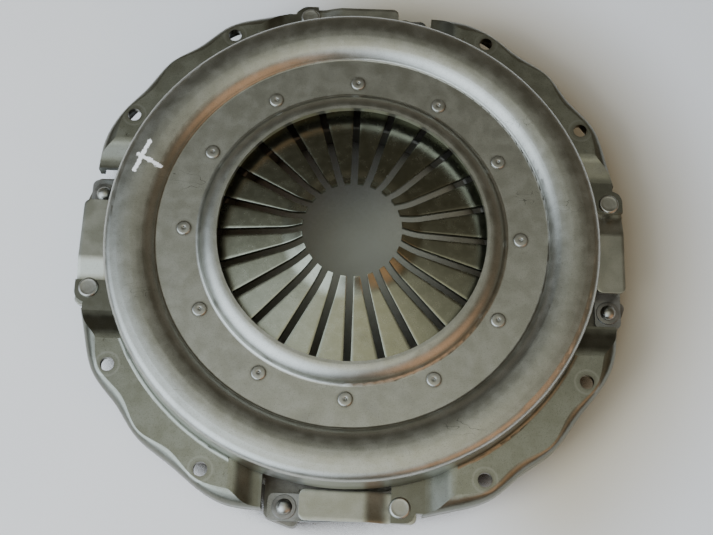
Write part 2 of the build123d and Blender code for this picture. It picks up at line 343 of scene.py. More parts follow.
@dataclass(frozen=True)
class PressedCover(SteelFinish):
    """The cover's finish: a darker, greener flange, painted shade on the skirt, in the folds of the dome and round
    the fasteners, a lighter rubbed ring round each fastener, scribbles and a chalked cross.
    """

    # Painted shade in the folds at the lip's foot and the step's foot, as (radius, half width, strength).
    crease_shades: tuple[tuple[float, float, float], ...] = ((0.1205, 0.0010, 0.4), (0.1560, 0.0008, 0.6))
    # Below flange_level the colour is multiplied by flange_tone, so it is darker and greener.
    flange_level: float = 0.007
    flange_tone: Colour = (0.66, 0.67, 0.62)
    # Painted shade: the turned-down skirt and everything lower is multiplied by this tone.
    skirt_shade_tone: Colour = (0.62, 0.61, 0.60)
    # Painted shade at the foot of each rivet head and round each bolt hole, then a lighter rubbed ring, as (circle,
    # count, near, far, strength).
    fastener_shade_rings: tuple[tuple[float, int, float, float, float], ...] = (
        (0.1336, 12, 0.0056, 0.0074, 0.75),
        (0.216, 0, 0.0056, 0.0078, 0.5),
    )
    # Heights over which the painted shade on the skirt fades out.
    skirt_shade_band: Point2 = (0.0036, 0.0047)
    squiggles: tuple[Squiggle, ...] = ()
    cross: tuple[tuple[Point2, Point2], ...] = ()
    chalk: Colour = (0.86, 0.88, 0.88)
    scribble_tone: Colour = (0.03, 0.03, 0.025)

    def features(self, web: Web, where: Feed, coat: Coat) -> None:
        """Adds the cover's own marks and its painted shade.

        Args:
            web: the material's nodes.
            where: Object coordinates.
            coat: what the plain finish built.
        """
        split = web.node("ShaderNodeSeparateXYZ")
        web.feed(split.inputs[0], where)
        x, y, z = split.outputs
        radius = web.math("SQRT", web.math("ADD", web.math("MULTIPLY", x, x), web.math("MULTIPLY", y, y)))
        angle = web.math("ARCTAN2", y, x)
        # Darker and greener from the foot of the dome downward.
        flange_darkened = web.vector("MULTIPLY", coat.colour, self.flange_tone).outputs[0]
        low = web.band(z, self.flange_level, self.flange_level + 0.010, 1.0, 0.0)
        coat.colour = web.mix(low, coat.colour, flange_darkened)
        # Painted shade on the turned-down skirt and all lower parts of the cover.
        edge = web.vector("MULTIPLY", coat.colour, self.skirt_shade_tone).outputs[0]
        coat.colour = web.mix(web.band(z, *self.skirt_shade_band, 1.0, 0.0), coat.colour, edge)
        # Painted shade, ragged, in the folds at the lip's foot and the step's foot.
        for crease, half, share in self.crease_shades:
            gap = web.math("ABSOLUTE", web.math("SUBTRACT", radius, crease))
            ragged = web.math("MULTIPLY", web.noise(where, 120.0, 3.0), 2.0)
            crease_shade = web.math("MULTIPLY", web.band(gap, half * 0.3, half, share, 0.0), ragged)
            coat.colour = web.mix(crease_shade, coat.colour, self.stain)
        # Painted shade round each fastener, with a lighter rubbed ring just outside it.
        for circle, count, near, far, share in self.fastener_shade_rings:
            gap = self.to_nearest(web, radius, angle, circle, count)
            coat.colour = web.mix(web.band(gap, near, far, share, 0.0), coat.colour, self.stain)
            worn_ring = web.math("ABSOLUTE", web.math("SUBTRACT", gap, far + 0.0016))
            coat.colour = web.mix(web.band(worn_ring, 0.0003, 0.0013, 0.3, 0.0), coat.colour, self.worn)
        for squiggle in self.squiggles:
            share = self.scribble(web, where, squiggle)
            coat.colour = web.mix(share, coat.colour, self.scribble_tone)
        for start, end in self.cross:
            share = self.stroke(web, where, start, end)
            coat.colour = web.mix(share, coat.colour, self.chalk)
            coat.roughness = web.math("ADD", coat.roughness, web.math("MULTIPLY", share, 0.4))
            coat.bare = web.math("MULTIPLY", coat.bare, web.math("SUBTRACT", 1.0, share))

    def scribble(self, web: Web, where: Feed, squiggle: Squiggle) -> Socket:
        """Thin wandering dark lines inside one patch.

        Args:
            web: the material's nodes.
            where: Object coordinates.
            squiggle: the patch.

        Returns:
            Their share, from 0 to 1.
        """
        flat = web.vector("MULTIPLY", where, (1.0, 1.0, 0.0)).outputs[0]
        local = web.vector("SUBTRACT", flat, (squiggle.x, squiggle.y, 0.0)).outputs[0]
        across = 1.0 / squiggle.reach
        shaped = web.stretched(local, (across, across * squiggle.stretch, 1.0), (0.0, 0.0, squiggle.turn))
        patch = web.band(web.vector("LENGTH", shaped).outputs["Value"], 0.55, 1.0, 1.0, 0.0)
        moved = web.vector("ADD", shaped, (0.37, 0.63, 60.0 * squiggle.x + 0.31)).outputs[0]
        line = web.math("ABSOLUTE", web.math("SUBTRACT", web.noise(moved, 1.6, 1.0, 0.4), 0.5))
        return web.math("MULTIPLY", web.band(line, 0.002, 0.016, 0.6, 0.0), patch)

    def to_nearest(self, web: Web, radius: Socket, angle: Socket, circle: float, count: int) -> Socket:
        """Distance to the nearest fastener of a circle.

        Args:
            web: the material's nodes.
            radius: distance from the clutch axis.
            angle: polar angle in radians.
            circle: radius of the fasteners' circle.
            count: fasteners at equal steps, or 0 for the flange's pairs at 30 and 60 degrees.

        Returns:
            The distance in metres.
        """
        step = math.tau / count if count else math.pi / 2
        folded = web.math("PINGPONG", angle, step / 2)
        off = folded if count else web.math("SUBTRACT", folded, math.radians(30))
        along = web.math("SUBTRACT", web.math("MULTIPLY", radius, web.math("COSINE", off)), circle)
        across = web.math("MULTIPLY", radius, web.math("SINE", off))
        return web.math("SQRT", web.math("ADD", web.math("MULTIPLY", along, along),
                                         web.math("MULTIPLY", across, across)))

    def stroke(self, web: Web, where: Feed, start: Point2, end: Point2) -> Socket:
        """One brushed stroke between two points of the XY plane.

        Args:
            web: the material's nodes.
            where: Object coordinates.
            start: first end.
            end: other end.

        Returns:
            Its share, ragged at the edges.
        """
        run = Vector((end[0] - start[0], end[1] - start[1], 0.0))
        flat = web.vector("MULTIPLY", where, (1.0, 1.0, 0.0)).outputs[0]
        local = web.vector("SUBTRACT", flat, (start[0], start[1], 0.0)).outputs[0]
        dot = web.vector("DOT_PRODUCT", local, tuple(run / run.length_squared)).outputs["Value"]
        share = web.math("ADD", dot, 0.0, clamp=True)
        scaled = web.vector("SCALE", tuple(run))
        web.feed(scaled.inputs["Scale"], share)
        gap = web.vector("DISTANCE", local, scaled.outputs[0]).outputs["Value"]
        ragged = web.math("MULTIPLY", web.math("SUBTRACT", web.noise(where, 420.0, 3.0), 0.5), 0.004)
        return web.band(web.math("ADD", gap, ragged), 0.0013, 0.0020, 1.0, 0.0)


# ------------------------------------------------------------------------------ mesh helpers
def mesh_object(name: str, verts: Sequence[Sequence[float]], faces: Sequence[Sequence[int]]) -> bpy.types.Object:
    """Makes a smooth mesh object from millimetre points, with its normals outwards.

    Args:
        name: the object's name.
        verts: points in millimetres.
        faces: lists of point indices.

    Returns:
        The linked object, in metres.
    """
    bm = bmesh.new()
    made = [bm.verts.new(Vector(point) * MM) for point in verts]
    for face in faces:
        if len(set(face)) > 2:
            bm.faces.new([made[index] for index in face])
    bmesh.ops.remove_doubles(bm, verts=bm.verts, dist=1e-7)
    bmesh.ops.recalc_face_normals(bm, faces=bm.faces)
    data = bpy.data.meshes.new(name)
    bm.to_mesh(data)
    bm.free()
    piece = bpy.data.objects.new(name, data)
    bpy.context.scene.collection.objects.link(piece)
    return piece


def lathe(name: str, profile: Sequence[Point2], centre: Point2 = (0.0, 0.0), steps: int = 32) -> bpy.types.Object:
    """Turns a (radius, z) profile about a vertical line; ends at radius 0 are closed.

    Args:
        name: the object's name.
        profile: points from the top of the piece to its underside, in millimetres.
        centre: where the line stands, in millimetres.
        steps: faces round it.

    Returns:
        The turned object.
    """
    verts = []
    for radius, z in profile:
        for step in range(steps):
            turn = math.tau * step / steps
            verts.append((centre[0] + radius * math.cos(turn), centre[1] + radius * math.sin(turn), z))
    faces = []
    for row in range(len(profile) - 1):
        for step in range(steps):
            following = (step + 1) % steps
            low, high = row * steps, (row + 1) * steps
            faces.append((low + step, low + following, high + following, high + step))
    return mesh_object(name, verts, faces)


def rounded(profile: Sequence[tuple[float, float, float]], steps: int = 4) -> list[Point2]:
    """Rounds the corners of a profile.

    Args:
        profile: (radius, z, corner radius) points.
        steps: pieces of each rounded corner.

    Returns:
        Plain (radius, z) points.
    """
    points: list[Point2] = []
    for index, (radius, z, corner) in enumerate(profile):
        here = Vector((radius, z))
        if corner <= 0 or index in (0, len(profile) - 1):
            points.append((radius, z))
            continue
        before = (Vector(profile[index - 1][:2]) - here).normalized() * corner
        after = (Vector(profile[index + 1][:2]) - here).normalized() * corner
        for step in range(steps + 1):
            share = step / steps
            point = here + before * (1 - share) ** 2 + after * share ** 2
            points.append((point.x, point.y))
    return points


def settle(piece: bpy.types.Object) -> bpy.types.Object:
    """Turns a piece's live modifiers into a plain mesh.

    Args:
        piece: the object with modifiers.

    Returns:
        The same object.
    """
    graph = bpy.context.evaluated_depsgraph_get()
    data = bpy.data.meshes.new_from_object(piece.evaluated_get(graph))
    piece.modifiers.clear()
    piece.data = data
    return piece


def smooth(piece: bpy.types.Object, degrees: float = 32.0) -> None:
    """Shades a mesh smooth, with edges sharper than an angle kept."""
    data = piece.data
    data.shade_smooth()
    data.set_sharp_from_angle(angle=math.radians(degrees))


def bevelled(piece: bpy.types.Object, width: float, segments: int = 2, degrees: float = 40.0) -> bpy.types.Object:
    """Rounds a mesh's sharp edges.

    Args:
        piece: the object.
        width: bevel width in millimetres.
        segments: faces across each bevel.
        degrees: edges sharper than this are rounded.

    Returns:
        The same object.
    """
    bevel = piece.modifiers.new("Edges", "BEVEL")
    bevel.width = width * MM
    bevel.segments = segments
    bevel.limit_method = "ANGLE"
    bevel.angle_limit = math.radians(degrees)
    bevel.harden_normals = False
    return settle(piece)


class RingArray:
    """A Geometry Nodes tree that repeats a mesh round the clutch axis."""

    def __init__(self) -> None:
        """Builds the tree, with inputs Copies, First turn, Weld and Finish."""
        self.tree = bpy.data.node_groups.new("RingArray", "GeometryNodeTree")
        face = self.tree.interface
        face.new_socket("Geometry", in_out="INPUT", socket_type="NodeSocketGeometry")
        self.ids = {}
        for label, kind in (("Copies", "NodeSocketInt"), ("First turn", "NodeSocketFloat"),
                            ("Weld", "NodeSocketFloat"), ("Finish", "NodeSocketMaterial")):
            self.ids[label] = face.new_socket(label, in_out="INPUT", socket_type=kind).identifier
        face.new_socket("Geometry", in_out="OUTPUT", socket_type="NodeSocketGeometry")
        web = Web(self.tree)
        source = web.node("NodeGroupInput")
        line = web.node("GeometryNodeMeshLine")
        web.feed(line.inputs["Count"], source.outputs["Copies"])
        line.inputs["Offset"].default_value = (0.0, 0.0, 0.0)
        step = web.math("DIVIDE", math.tau, source.outputs["Copies"])
        turn = web.math("MULTIPLY_ADD", web.node("GeometryNodeInputIndex").outputs[0], step,
                        source.outputs["First turn"])
        spin = web.node("ShaderNodeCombineXYZ")
        web.feed(spin.inputs["Z"], turn)
        copies = web.node("GeometryNodeInstanceOnPoints")
        web.feed(copies.inputs["Points"], line.outputs[0])
        web.feed(copies.inputs["Instance"], source.outputs["Geometry"])
        web.feed(copies.inputs["Rotation"], spin.outputs[0])
        real = web.node("GeometryNodeRealizeInstances")
        web.feed(real.inputs[0], copies.outputs[0])
        weld = web.node("GeometryNodeMergeByDistance")
        web.feed(weld.inputs["Geometry"], real.outputs[0])
        web.feed(weld.inputs["Distance"], source.outputs["Weld"])
        dressed = web.node("GeometryNodeSetMaterial")
        web.feed(dressed.inputs["Geometry"], weld.outputs[0])
        web.feed(dressed.inputs["Material"], source.outputs["Finish"])
        web.feed(web.node("NodeGroupOutput").inputs[0], dressed.outputs[0])

    def repeat(self, piece: bpy.types.Object, copies: int, finish: bpy.types.Material,
               first: float = 0.0, weld: float = 1e-7) -> bpy.types.Object:
        """Repeats a piece round Z and turns the result into a plain mesh.

        Args:
            piece: one unit, in place.
            copies: how many stand round the axis.
            finish: material of the result.
            first: turn of the first copy in degrees.
            weld: points nearer than this are joined, in metres.

        Returns:
            The same object with all the copies.
        """
        array = piece.modifiers.new("Ring", "NODES")
        array.node_group = self.tree
        array[self.ids["Copies"]] = copies
        array[self.ids["First turn"]] = math.radians(first)
        array[self.ids["Weld"]] = weld
        array[self.ids["Finish"]] = finish
        return settle(piece)


def dress(piece: bpy.types.Object, finish: bpy.types.Material) -> bpy.types.Object:
    """Gives a piece its material."""
    piece.data.materials.clear()
    piece.data.materials.append(finish)
    return piece


# ------------------------------------------------------------------------------ sub-assemblies
@dataclass
class DiaphragmSpring:
    """The one-piece spring: a conical rim with fingers that bend up at their tips."""

    rim_r: float = 182.0
    tip_r: float = 39.3
    bend_r: float = 50.3
    bend_half: float = 6.4
    hinge_r: float = 142.0
    hinge_top: float = 14.06
    thickness: float = 4.6
    cone: float = 9.5
    tip: float = 35.8
    fingers: int = 24
    slot_half: float = 2.8
    eye_centre: float = 133.6
    eye_r: float = 7.0
    across: int = 8
    travel: float = 5.5
    hinge_level: float = 11.73

    def level(self, radius: float) -> float:
        """Height of the upper face at a radius."""
        slope = math.tan(math.radians(self.cone))
        steep = math.tan(math.radians(self.tip))
        inward = self.bend_r - radius
        z = self.hinge_top + (self.hinge_r - radius) * slope
        if inward > self.bend_half:
            return z + inward * (steep - slope)
        if inward > -self.bend_half:
            return z + (inward + self.bend_half) ** 2 / (4 * self.bend_half) * (steep - slope)
        return z

    def edge_points(self) -> list[Point2]:
        """(radius, half angle cut away) pairs down one side of a finger, from the rim inwards."""
        rows = [(self.rim_r - step * (self.rim_r - 144.0) / 6, 0.0) for step in range(7)]
        last = math.pi - math.asin(self.slot_half / self.eye_r)
        for step in range(15):
            turn = last * step / 14
            x = self.eye_centre + self.eye_r * math.cos(turn)
            y = self.eye_r * math.sin(turn)
            rows.append((math.hypot(x, y), math.atan2(y, x)))
        start = rows[-1][0]
        radii = [start - (start - 60.0) * step / 12 for step in range(1, 13)]
        radii += [60.0 - (60.0 - self.tip_r) * step / 14 for step in range(1, 15)]
        rows += [(radius, math.asin(self.slot_half / radius)) for radius in radii]
        return rows

    def build(self, array: RingArray, finish: bpy.types.Material) -> bpy.types.Object:
        """Makes the spring.

        Args:
            array: the ring tree.
            finish: its material.

        Returns:
            The piece.
        """
        sector = math.tau / self.fingers
        rows = self.edge_points()
        drop = self.thickness / math.cos(math.radians(self.cone))
        verts: list[tuple[float, float, float]] = []
        for side in (0.0, drop):
            for radius, cut in rows:
                for column in range(self.across + 1):
                    turn = cut + (sector - 2 * cut) * column / self.across
                    z = self.level(radius) - side
                    verts.append((radius * math.cos(turn), radius * math.sin(turn), z))
        width = self.across + 1
        under = len(rows) * width
        faces: list[tuple[int, ...]] = []
        for row in range(len(rows) - 1):
            for column in range(self.across):
                corner = row * width + column
                quad = (corner, corner + 1, corner + 1 + width, corner + width)
                faces.append(quad)
                faces.append(tuple(under + index for index in reversed(quad)))
            for column in (0, self.across):
                if rows[row + 1][1] > 1e-9:
                    top = row * width + column
                    faces.append((top, top + width, under + top + width, under + top))
        for row in (0, len(rows) - 1):
            for column in range(self.across):
                top = row * width + column
                faces.append((top, top + 1, under + top + 1, under + top))
        unit = mesh_object("diaphragm_fingers", verts, faces)
        piece = array.repeat(unit, self.fingers, finish, weld=2e-6)
        bevelled(piece, 0.55, 2, 50.0)
        smooth(piece)
        dress(piece, finish)
        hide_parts("diaphragm_spring")
        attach(piece, Body.COVER.value)
        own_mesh(piece)
        log.info("diaphragm spring: %d vertices", len(piece.data.vertices))
        return piece


@dataclass
class FulcrumRivets:
    """Rivets round the annulus: a flat head with a punched centre, and a broad foot under the spring."""

    circle: float = 133.6
    count: int = 12
    head_r: float = 5.8
    head_t: float = 1.5
    dimple_r: float = 1.35
    dimple_depth: float = 1.5
    seat: float = 25.2
    shank_r: float = 3.9
    sleeve_r: float = 5.0
    sleeve_top: float = 20.2
    foot_top: float = 3.25
    foot_r: float = 11.5
    foot_t: float = 3.2

    def build(self, array: RingArray, finish: bpy.types.Material) -> bpy.types.Object:
        """Makes one rivet and repeats it.

        Args:
            array: the ring tree.
            finish: its material.

        Returns:
            The piece.
        """
        top = self.seat + self.head_t
        dimple = top - self.dimple_depth
        head_under = self.seat - 0.02
        foot_under = self.foot_top - self.foot_t
        profile = rounded([
            (0.0, dimple, 0), (0.5, dimple, 0.2), (self.dimple_r, top - 0.1, 0.3), (2.6, top, 0.5),
            (5.1, top - 0.1, 0.5), (self.head_r, top - 0.7, 0.4), (self.head_r, head_under, 0),
            (self.shank_r, head_under, 0), (self.shank_r, self.sleeve_top, 0), (self.sleeve_r, self.sleeve_top, 0),
            (self.sleeve_r, self.foot_top, 0.3), (self.foot_r, self.foot_top, 0.6), (self.foot_r, foot_under, 0.8),
            (0.0, foot_under, 0)])
        unit = lathe("fulcrum_rivet_set", profile, (self.circle, 0.0), 36)
        piece = array.repeat(unit, self.count, finish)
        smooth(piece)
        dress(piece, finish)
        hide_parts("fulcrum_rivets")
        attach(piece, Body.COVER.value)
        log.info("fulcrum rivets: %d", self.count)
        return piece


@dataclass
class StrapSet:
    """Four packs of drive straps with their guards, rivets and collars."""

    line: float = 209.9
    reach: float = 44.2
    end: float = 57.2
    width: float = 21.0
    corner: float = 5.0
    leaf: float = 1.15
    pitch: float = 1.2
    flat: float = 28.0
    cover_top: float = -8.7
    plate_top: float = -18.2
    guard_inner: float = 197.8
    guard_outer: float = 221.3
    guard_t: float = 3.0
    guard_free: float = -32.3
    joggle: Point2 = (19.0, 33.0)
    tab_top: float = -0.7
    tab_under: float = -5.7
    ear_under: float = -36.0

    def strip(self, name: str, stations: Sequence[Point2], sides: Point2, thickness: float,
              corners: Point2) -> bpy.types.Object:
        """A bent strip of sheet along Y with rounded ends.

        Args:
            name: the object's name.
            stations: (y, z) of its upper face, closely spaced.
            sides: its two x values.
            thickness: its thickness.
            corners: plan radius at its first and last end.

        Returns:
            The closed strip.
        """
        verts: list[tuple[float, float, float]] = []
        columns = 8
        low, high = stations[0][0], stations[-1][0]
        for drop in (0.0, thickness):
            for y, z in stations:
                inset = 0.0
                for gap, corner in ((y - low, corners[0]), (high - y, corners[1])):
                    if gap < corner:
                        inset = corner - math.sqrt(corner ** 2 - (corner - gap) ** 2)
                for column in range(columns + 1):
                    x = sides[0] + inset + (sides[1] - sides[0] - 2 * inset) * column / columns
                    verts.append((x, y, z - drop))
        width = columns + 1
        under = len(stations) * width
        faces: list[tuple[int, ...]] = []
        for row in range(len(stations) - 1):
            for column in range(columns):
                corner = row * width + column
                quad = (corner, corner + 1, corner + 1 + width, corner + width)
                faces += [quad, tuple(under + index for index in reversed(quad))]
            for column in (0, columns):
                top = row * width + column
                faces.append((top, top + width, under + top + width, under + top))
        for row in (0, len(stations) - 1):
            for column in range(columns):
                top = row * width + column
                faces.append((top, top + 1, under + top + 1, under + top))
        return mesh_object(name, verts, faces)

    @staticmethod
    def path(points: Sequence[Point2], bend: float, ends: float = 5.0) -> list[Point2]:
        """Closely spaced (y, z) stations along straight runs with eased bends.

        Args:
            points: corners of the path.
            bend: half length of each bend along y.
            ends: length at each end that is sampled finely.

        Returns:
            The stations in order of y.
        """
        low, high = points[0][0], points[-1][0]
        marks = {low, high}
        marks |= {low + ends * (1 - math.cos(turn * math.pi / 16)) for turn in range(9)}
        marks |= {high - ends * (1 - math.cos(turn * math.pi / 16)) for turn in range(9)}
        for y, _ in points[1:-1]:
            marks |= {y + bend * share / 4 for share in range(-4, 5)}
        marks |= {low + (high - low) * share / 24 for share in range(25)}

        def straight(y: float) -> float:
            for (y0, z0), (y1, z1) in zip(points, points[1:]):
                if y <= y1:
                    return z0 + (z1 - z0) * (y - y0) / (y1 - y0)
            return points[-1][1]

        stations = []
        for y in sorted(marks):
            near = [corner for corner, _ in points[1:-1] if abs(y - corner) < bend]
            if near:
                start, stop = near[0] - bend, near[0] + bend
                share = (y - start) / (2 * bend)
                middle = straight(near[0])
                z = ((1 - share) ** 2 * straight(start) + 2 * share * (1 - share) * middle
                     + share ** 2 * straight(stop))
            else:
                z = straight(y)
            if not stations or y - stations[-1][0] > 0.05:
                stations.append((y, z))
        return stations

    def build(self, array: RingArray, leaf_finish: bpy.types.Material, guard_finish: bpy.types.Material,
              rivet_finish: bpy.types.Material, collar_finish: bpy.types.Material) -> None:
        """Makes the packs, guards, rivets and collars.

        Args:
            array: the ring tree.
            leaf_finish: material of the leaves.
            guard_finish: material of the guards.
            rivet_finish: material of the rivets.
            collar_finish: material of the collars.
        """
        sides = (self.line - self.width / 2, self.line + self.width / 2)
        for number, quarter in enumerate(QUARTERS, start=1):
            leaves = []
            for order in range(3):
                drop = order * self.pitch
                corners = [(-self.end, self.plate_top - drop), (-self.flat, self.plate_top - drop),
                           (self.flat, self.cover_top - drop), (self.end, self.cover_top - drop)]
                leaves.append(self.strip(f"strap_pack_{number}", self.path(corners, 5.0), sides, self.leaf,
                                         (self.corner, self.corner)))
            pack = join(leaves)
            pack.data.transform(Matrix.Rotation(math.radians(quarter), 4, "Z"))
            smooth(pack)
            dress(pack, leaf_finish)
            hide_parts(*(f"strap_{number}_{name}_leaf" for name in ("top", "middle", "bottom")))
            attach(pack, Body.COVER.value)
            pack.parent = None
            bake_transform(pack)
        log.info("strap packs: 4")
        self.build_guards(array, guard_finish)
        self.build_rivets(array, rivet_finish, collar_finish)

    def build_guards(self, array: RingArray, finish: bpy.types.Material) -> None:
        """Makes the joggled guards over the packs."""
        corners = [(self.guard_free, self.tab_top), (self.joggle[0], self.tab_top),
                   (self.joggle[1], self.tab_under), (self.end, self.tab_under)]
        sides = (self.guard_inner, self.guard_outer)
        guard = self.strip("strap_guards", self.path(corners, 3.0), sides, self.guard_t, (self.corner, self.corner))
        bevelled(guard, 0.45, 2, 50.0)
        piece = array.repeat(guard, 4, finish)
        smooth(piece)
        dress(piece, finish)
        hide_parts(*(f"strap_guard_{number}" for number in range(1, 5)))
        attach(piece, Body.COVER.value)
        log.info("strap guards: 4")

    def build_rivets(self, array: RingArray, finish: bpy.types.Material, collar_finish: bpy.types.Material) -> None:
        """Makes the flat-headed rivets of the tabs and the domed ones of the ears."""
        top = self.tab_top + 2.2
        pack_under = self.cover_top - 3 * self.pitch
        tab = rounded([(0.0, top - 0.25, 0), (5.2, top - 0.2, 0.8), (6.9, top, 0.5), (8.2, top - 0.9, 0.7),
                       (8.2, self.tab_top - 0.02, 0), (4.5, self.tab_top - 0.02, 0), (4.5, pack_under, 0),
                       (7.2, pack_under, 0.2), (7.2, pack_under - 3.0, 0.9), (0.0, pack_under - 3.0, 0)])
        piece = array.repeat(lathe("cover_strap_rivet_set", tab, (self.line, self.reach), 40), 4, finish)
        smooth(piece)
        dress(piece, finish)
        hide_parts("cover_strap_rivets")
        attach(piece, Body.COVER.value)

        collar_top = self.plate_top + 1.2
        dome = [(6.3 * math.sin(step * math.pi / 16), collar_top + 4.2 * math.cos(step * math.pi / 16))
                for step in range(9)]
        ear = dome + rounded([(6.3, collar_top, 0), (4.5, collar_top, 0), (4.5, self.ear_under, 0),
                              (7.2, self.ear_under, 0.2), (7.2, self.ear_under - 3.0, 0.9),
                              (0.0, self.ear_under - 3.0, 0)])[1:]
        piece = array.repeat(lathe("plate_strap_rivet_set", ear, (self.line, -self.reach), 40), 4, finish)
        smooth(piece)
        dress(piece, finish)
        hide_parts("plate_strap_rivets")
        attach(piece, Body.PLATE.value)

        collar = rounded([(4.6, self.plate_top, 0), (9.5, self.plate_top, 0.2), (9.5, collar_top, 0.4),
                          (4.6, collar_top, 0), (4.6, self.plate_top, 0)])
        piece = array.repeat(lathe("strap_collar_set", collar, (self.line, -self.reach), 40), 4, collar_finish)
        smooth(piece)
        dress(piece, collar_finish)
        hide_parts("strap_collars")
        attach(piece, Body.PLATE.value)
        log.info("strap rivets and collars: 4 of each")


def join(pieces: Sequence[bpy.types.Object]) -> bpy.types.Object:
    """Joins meshes into the first one.

    Args:
        pieces: mesh objects at the origin.

    Returns:
        The first, holding them all.
    """
    bm = bmesh.new()
    for piece in pieces:
        bm.from_mesh(piece.data)
    bm.to_mesh(pieces[0].data)
    bm.free()
    for spare in pieces[1:]:
        bpy.data.objects.remove(spare)
    return pieces[0]


# ------------------------------------------------------------------------------ studio
@dataclass
class Studio:
    """Pale floor with painted shade under and round the part and a painted warm shadow on its right, soft lights,
    sky and camera.
    """

    floor_z: float = -49.3
    target: tuple[float, float, float] = (3.905, -27.996, 25.2)
    distance: float = 933.1
    elevation: float = 70.640
    roll: float = 0.878
    turn: float = 1.3323
    lens: float = 60.015
    left_room: Colour = (0.20, 0.21, 0.20)
    right_room: Colour = (0.16, 0.13, 0.085)
    far_room: Colour = (0.17, 0.155, 0.125)
    far_top: Colour = (0.05, 0.045, 0.03)
    sky_strength: float = 1.0
    # Painted shade on the floor, darkened by ambient occlusion near the part, as (reach, low, high, shade colour).
    contact_shades: tuple[tuple[float, float, float, Colour], ...] = (
        (0.120, 0.18, 0.50, (0.27, 0.265, 0.23)),
        (0.058, 0.46, 0.58, (0.035, 0.03, 0.022)),
    )
    # Painted shade on the floor under the part's middle, as (inner, outer, tint).
    bore_shade: tuple[float, float, Colour] = (0.060, 0.150, (0.42, 0.42, 0.345))
    # Painted warm shadow on the floor's right side near the part, as (inner, outer, tint).
    warm: tuple[float, float, Colour] = (0.235, 0.370, (0.68, 0.61, 0.46))
    warm_shade_way: Colour = (0.94, 0.34, 0.0)
    pale: tuple[Colour, Colour] = ((0.75, 0.765, 0.78), (0.80, 0.81, 0.815))
    distant: Colour = (0.30, 0.30, 0.29)
    floor_half: float = 4000.0
    pale_reach: float = 0.40
    fade_reach: float = 1.0
    glows: tuple[tuple[float, float, float, float, Colour], ...] = (
        (235.0, 80.0, 14.0, 43.0, (0.56, 0.57, 0.50)),
        (275.0, 84.0, 6.0, 20.0, (1.15, 1.12, 0.88)),
        (214.0, 40.0, 5.0, 49.0, (2.6, 2.95, 3.4)),
        (318.0, 32.0, 2.0, 34.0, (0.95, 0.58, 0.36)),
    )

    def camera(self) -> None:
        """Sets up the camera."""
        el, roll = math.radians(self.elevation), math.radians(self.roll)
        back = Vector((0.0, -math.cos(el), math.sin(el)))
        right = Vector((1.0, 0.0, 0.0))
        up = back.cross(right)
        across = right * math.cos(roll) + up * math.sin(roll)
        upward = up * math.cos(roll) - right * math.sin(roll)
        place = (Vector(self.target) + back * self.distance) * MM
        matrix = Matrix((across, upward, back)).transposed().to_4x4()
        matrix.translation = place
        data = bpy.data.cameras.new("camera")
        data.lens = self.lens
        data.sensor_width = 36.0
        data.sensor_fit = "HORIZONTAL"
        data.clip_end = 20.0
        camera = bpy.data.objects.new("camera", data)
        camera.matrix_world = Matrix.Rotation(math.radians(self.turn), 4, "Z") @ matrix
        bpy.context.scene.collection.objects.link(camera)
        bpy.context.scene.camera = camera

    def floor(self) -> None:
        """Lays the pale floor, with painted shade under and round the part and a painted warm shadow on its right.
        """
        half = self.floor_half
        floor = mesh_object("floor", [(-half, -half, self.floor_z), (half, -half, self.floor_z),
                                      (half, half, self.floor_z), (-half, half, self.floor_z)], [(0, 1, 2, 3)])
        material = bpy.data.materials.new("pale_floor")
        material.use_nodes = True
        web = Web(material.node_tree)
        shader = web.node("ShaderNodeBsdfPrincipled")
        web.tree.links.new(shader.outputs[0], web.node("ShaderNodeOutputMaterial").inputs[0])
        where = web.node("ShaderNodeTexCoord").outputs["Object"]
        cloud = web.band(web.noise(where, 1.6, 4.0), 0.35, 0.65)
        colour = web.mix(cloud, *self.pale)
        # Painted shade: the floor darkens where the part hides it.
        for reach, low, high, dark in self.contact_shades:
            hidden = web.node("ShaderNodeAmbientOcclusion", samples=12)
            hidden.inputs["Distance"].default_value = reach
            colour = web.mix(web.band(hidden.outputs["AO"], low, high), dark, colour)
        away = web.vector("LENGTH", where).outputs["Value"]
        # Painted shade under the part's middle.
        inner, outer, dim = self.bore_shade
        dimmed = web.vector("MULTIPLY", colour, dim).outputs[0]
        colour = web.mix(web.band(away, inner, outer, 1.0, 0.0), colour, dimmed)
        # Painted warm shadow on the floor's right side near the part.
        inner, outer, dim = self.warm
        side = web.band(web.vector("DOT_PRODUCT", where, self.warm_shade_way).outputs["Value"], 0.0, 0.12)
        share = web.math("MULTIPLY", web.band(away, inner, outer, 1.0, 0.0), side)
        colour = web.mix(share, colour, web.vector("MULTIPLY", colour, dim).outputs[0])
        fade = web.band(away, self.pale_reach, self.fade_reach)
        web.feed(shader.inputs["Base Color"], web.mix(fade, colour, self.distant))
        shader.inputs["Roughness"].default_value = 0.7
        shader.inputs["Specular IOR Level"].default_value = 0.2
        floor.data.materials.append(material)

    def lamp(self, name: str, place: Sequence[float], aim: Sequence[float], size: Point2, power: float,
             colour: Colour, glossy: bool) -> None:
        """Adds one soft area light.

        Args:
            name: its name.
            place: where it stands, in metres.
            aim: what it faces, in metres.
            size: width and height in metres.
            power: watts.
            colour: its colour.
            glossy: whether it shows in reflections.
        """
        data = bpy.data.lights.new(name, "AREA")
        data.shape = "RECTANGLE"
        data.size, data.size_y = size
        data.energy = power
        data.color = colour
        lamp = bpy.data.objects.new(name, data)
        lamp.visible_glossy = glossy
        lamp.location = place
        lamp.rotation_euler = (Vector(aim) - Vector(place)).to_track_quat("-Z", "Y").to_euler()
        bpy.context.scene.collection.objects.link(lamp)

